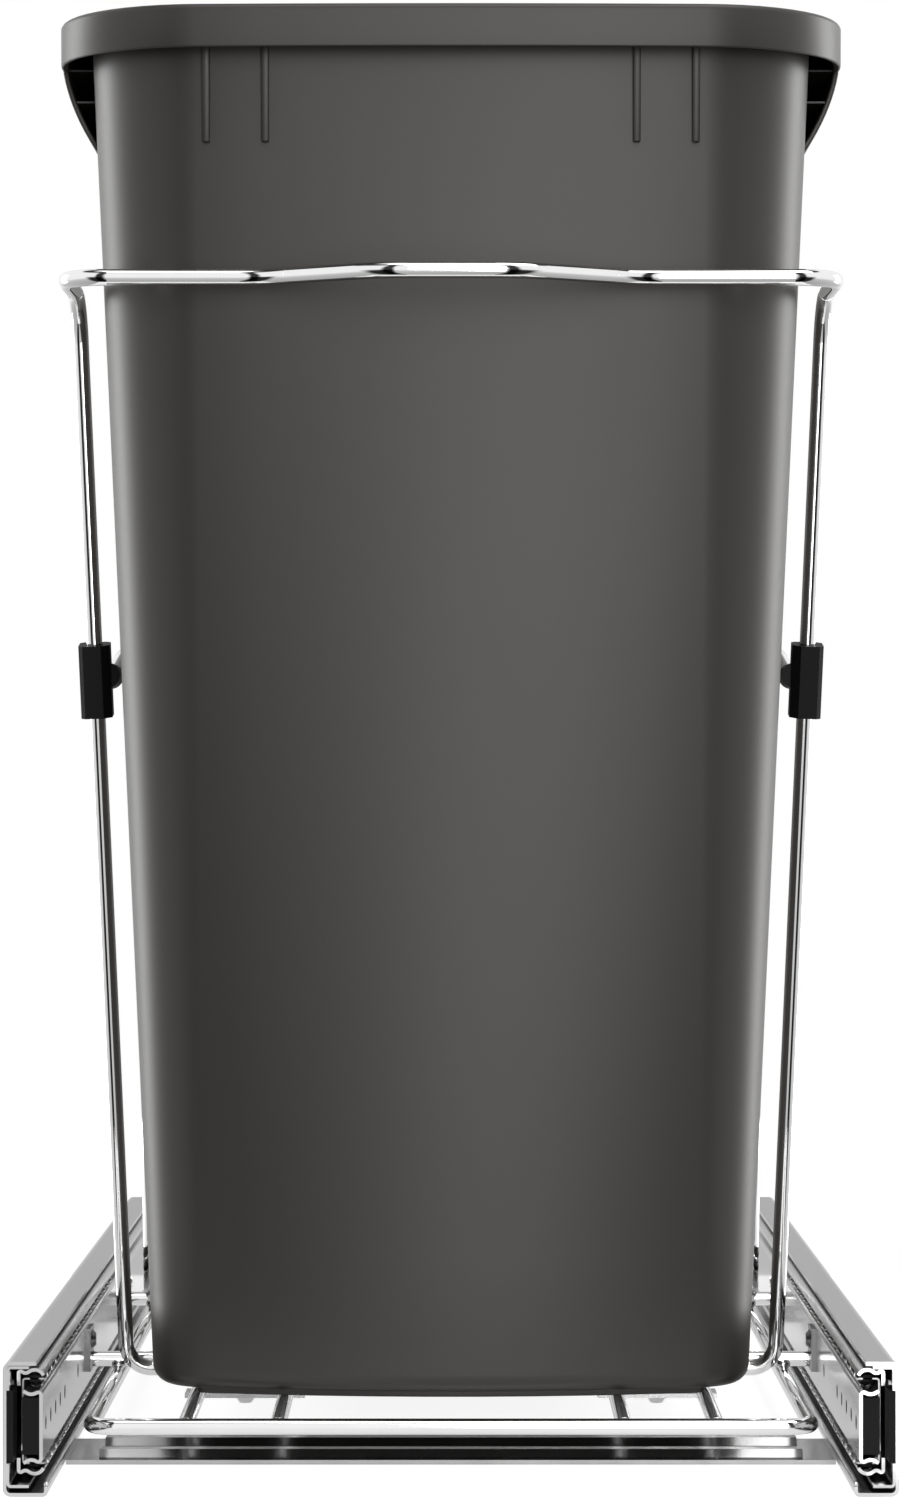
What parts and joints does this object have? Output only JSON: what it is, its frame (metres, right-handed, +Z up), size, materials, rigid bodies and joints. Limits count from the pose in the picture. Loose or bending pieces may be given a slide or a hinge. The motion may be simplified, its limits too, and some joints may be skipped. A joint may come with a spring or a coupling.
{
  "type": "pull out bin frame",
  "caption": "Floor-mounted pull-out waste bin: a chromed wire cradle with a front handle on telescopic ball slides, carrying a tapered lift-out plastic bin.",
  "frame": {"origin": "on the floor, under the middle of the slides", "axes": "+Z up, the front (the handle) faces -Y, +X to the right seen from the front"},
  "size_m": [0.28, 0.56, 0.471],
  "materials": {
    "bracket": "bright zinc plated sheet",
    "rail": "bright zinc plated rolled steel",
    "plate": "zinc plated sheet",
    "wire": "bright chrome plate",
    "ball": "polished steel",
    "cage": "pressed steel",
    "fixing": "zinc plated steel",
    "black_plastic": "satin moulded",
    "bin_plastic": "satin moulded"
  },
  "bodies": {
    "floor_frame": {"front_plate": "plate", "rear_plate": "plate", "left_bracket": "bracket", "left_outer_rail": "rail", "left_rear_stop": "black_plastic", "left_front_guide": "black_plastic", "right_bracket": "bracket", "right_outer_rail": "rail", "right_rear_stop": "black_plastic", "right_front_guide": "black_plastic"},
    "carriage": {"carrier_tabs": "fixing", "tab_rivets": "fixing", "front_carrier_wire": "wire", "rear_carrier_wire": "wire", "base_loop": "wire", "floor_wires": "wire", "handle": "wire", "rear_hoop": "wire", "handle_clamps": "fixing", "clamp_nuts": "fixing", "clamp_screws": "fixing", "left_clip": "black_plastic", "right_clip": "black_plastic", "left_inner_rail": "rail", "left_front_bumper": "black_plastic", "right_inner_rail": "rail", "right_front_bumper": "black_plastic"},
    "left_middle": {"left_middle_rail": "rail", "left_big_cage": "cage", "left_big_balls": "ball"},
    "left_race": {"left_small_cage": "cage", "left_small_balls": "ball"},
    "right_middle": {"right_middle_rail": "rail", "right_big_cage": "cage", "right_big_balls": "ball"},
    "right_race": {"right_small_cage": "cage", "right_small_balls": "ball"},
    "waste_bin": {"bin": "bin_plastic"}
  },
  "joints": [
    {"name": "pull_out", "type": "slide", "parent": "floor_frame", "child": "carriage", "axis": [0, -1, 0], "range_m": [0, 0.5]},
    {"name": "left_middle_slide", "type": "slide", "parent": "floor_frame", "child": "left_middle", "axis": [0, -1, 0], "range_m": [0, 0.25]},
    {"name": "left_race_slide", "type": "slide", "parent": "floor_frame", "child": "left_race", "axis": [0, -1, 0], "range_m": [0, 0.125]},
    {"name": "right_middle_slide", "type": "slide", "parent": "floor_frame", "child": "right_middle", "axis": [0, -1, 0], "range_m": [0, 0.25]},
    {"name": "right_race_slide", "type": "slide", "parent": "floor_frame", "child": "right_race", "axis": [0, -1, 0], "range_m": [0, 0.125]},
    {"name": "bin_lift", "type": "slide", "parent": "carriage", "child": "waste_bin", "axis": [0, 0, 1], "range_m": [0, 0.46]}
  ],
  "couplings": [
    {"joint": "left_middle_slide", "follows": "pull_out", "ratio": 0.5},
    {"joint": "left_race_slide", "follows": "pull_out", "ratio": 0.25},
    {"joint": "right_middle_slide", "follows": "pull_out", "ratio": 0.5},
    {"joint": "right_race_slide", "follows": "pull_out", "ratio": 0.25}
  ]
}
